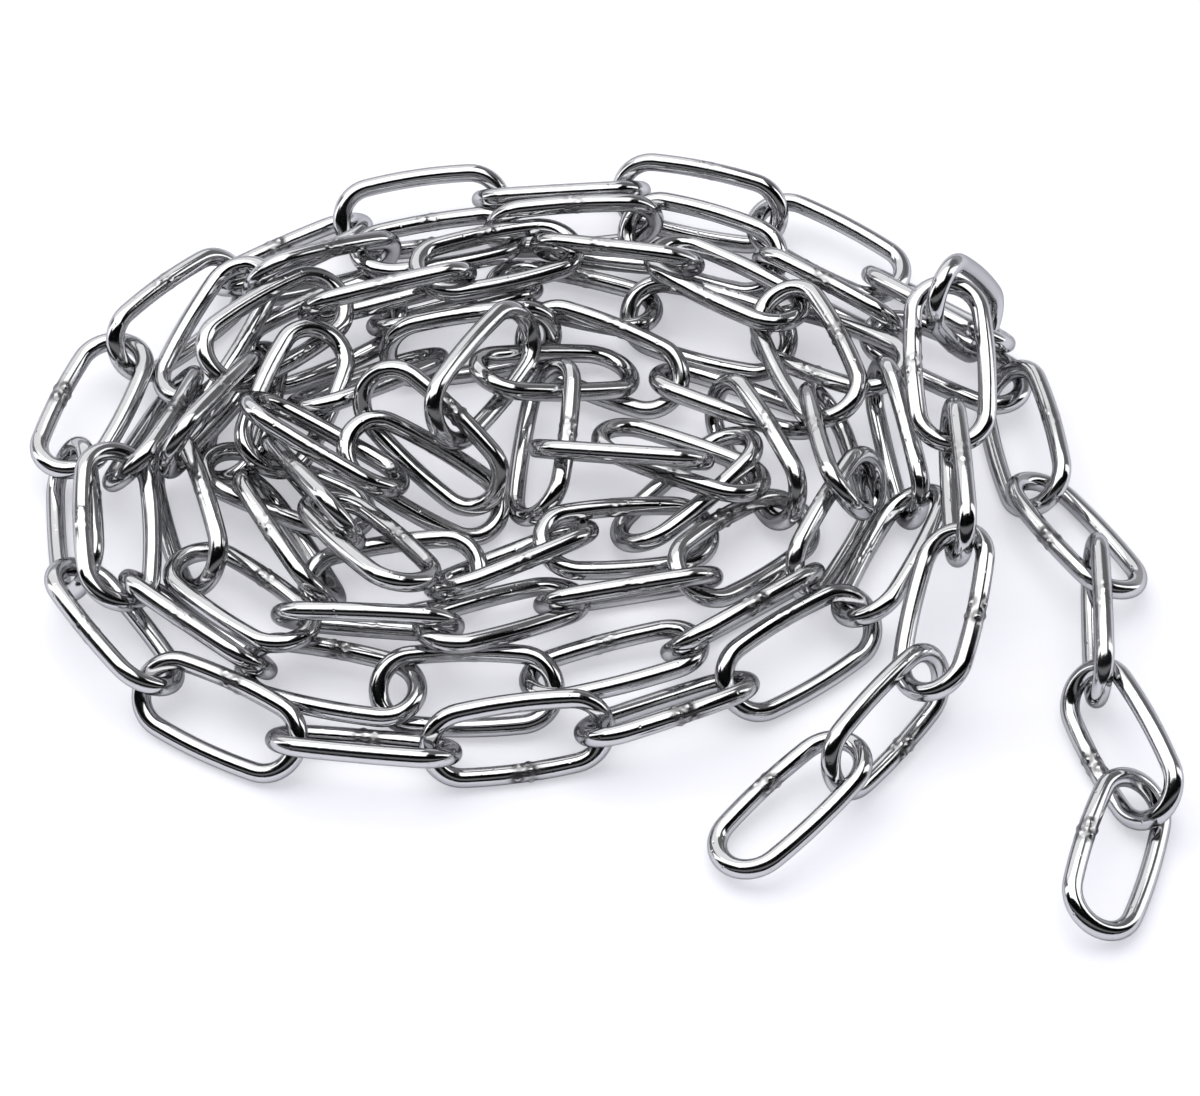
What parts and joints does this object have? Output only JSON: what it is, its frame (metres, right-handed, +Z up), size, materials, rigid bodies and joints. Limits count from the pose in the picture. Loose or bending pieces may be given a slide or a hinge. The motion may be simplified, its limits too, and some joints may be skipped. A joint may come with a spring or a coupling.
{
  "type": "heap of steel chain",
  "caption": "Loose coil of polished welded long-link steel chain, heaped on the floor with both ends lying free.",
  "frame": {"origin": "on the floor under the middle of the heap's box", "axes": "+Z up, +X to the right as seen from the side where both ends lie out, +Y away from that side"},
  "size_m": [0.2374, 0.2018, 0.0434],
  "materials": {
    "steel": "mirror polished, bright, with a small weld bead on each link"
  },
  "bodies": {
    "root": {"link_middle_03": "steel", "link_middle_04": "steel", "link_middle_07": "steel", "link_outer_01": "steel", "link_outer_02": "steel", "link_outer_03": "steel", "link_outer_04": "steel", "link_outer_05": "steel", "link_outer_06": "steel", "link_outer_07": "steel", "link_outer_08": "steel", "link_outer_09": "steel", "link_outer_10": "steel", "link_outer_11": "steel", "link_outer_12": "steel", "link_outer_13": "steel", "link_outer_14": "steel", "link_outer_15": "steel", "link_outer_16": "steel", "link_outer_17": "steel", "link_outer_18": "steel", "link_outer_19": "steel", "link_outer_20": "steel", "link_outer_21": "steel", "link_second_07": "steel", "link_second_14": "steel", "link_tail_02": "steel", "link_tail_03": "steel", "link_tail_04": "steel", "link_tail_05": "steel", "link_tail_06": "steel", "link_top_01": "steel", "link_top_02": "steel", "link_top_03": "steel", "link_top_06": "steel", "links_inner_02_inner_03": "steel", "links_inner_04_inner_05": "steel", "links_inner_06_inner_07": "steel", "links_inner_08_inner_09": "steel", "links_inner_10_inner_11": "steel", "links_inner_12_inner_13": "steel", "links_middle_01_middle_02": "steel", "links_middle_05_middle_06": "steel", "links_middle_08_inner_01": "steel", "links_outer_22_outer_23": "steel", "links_second_01_second_02": "steel", "links_second_03_second_04": "steel", "links_second_05_second_06": "steel", "links_second_08_second_09": "steel", "links_second_10_second_11": "steel", "links_second_12_second_13": "steel", "links_third_01_third_02": "steel", "links_third_03_third_04": "steel", "links_third_05_third_06": "steel", "links_third_07_third_08": "steel", "links_third_09_third_10": "steel", "links_third_11_third_12": "steel", "links_third_13_third_14": "steel", "links_third_15_tail_01": "steel", "links_top_04_top_05": "steel"}
  },
  "joints": []
}
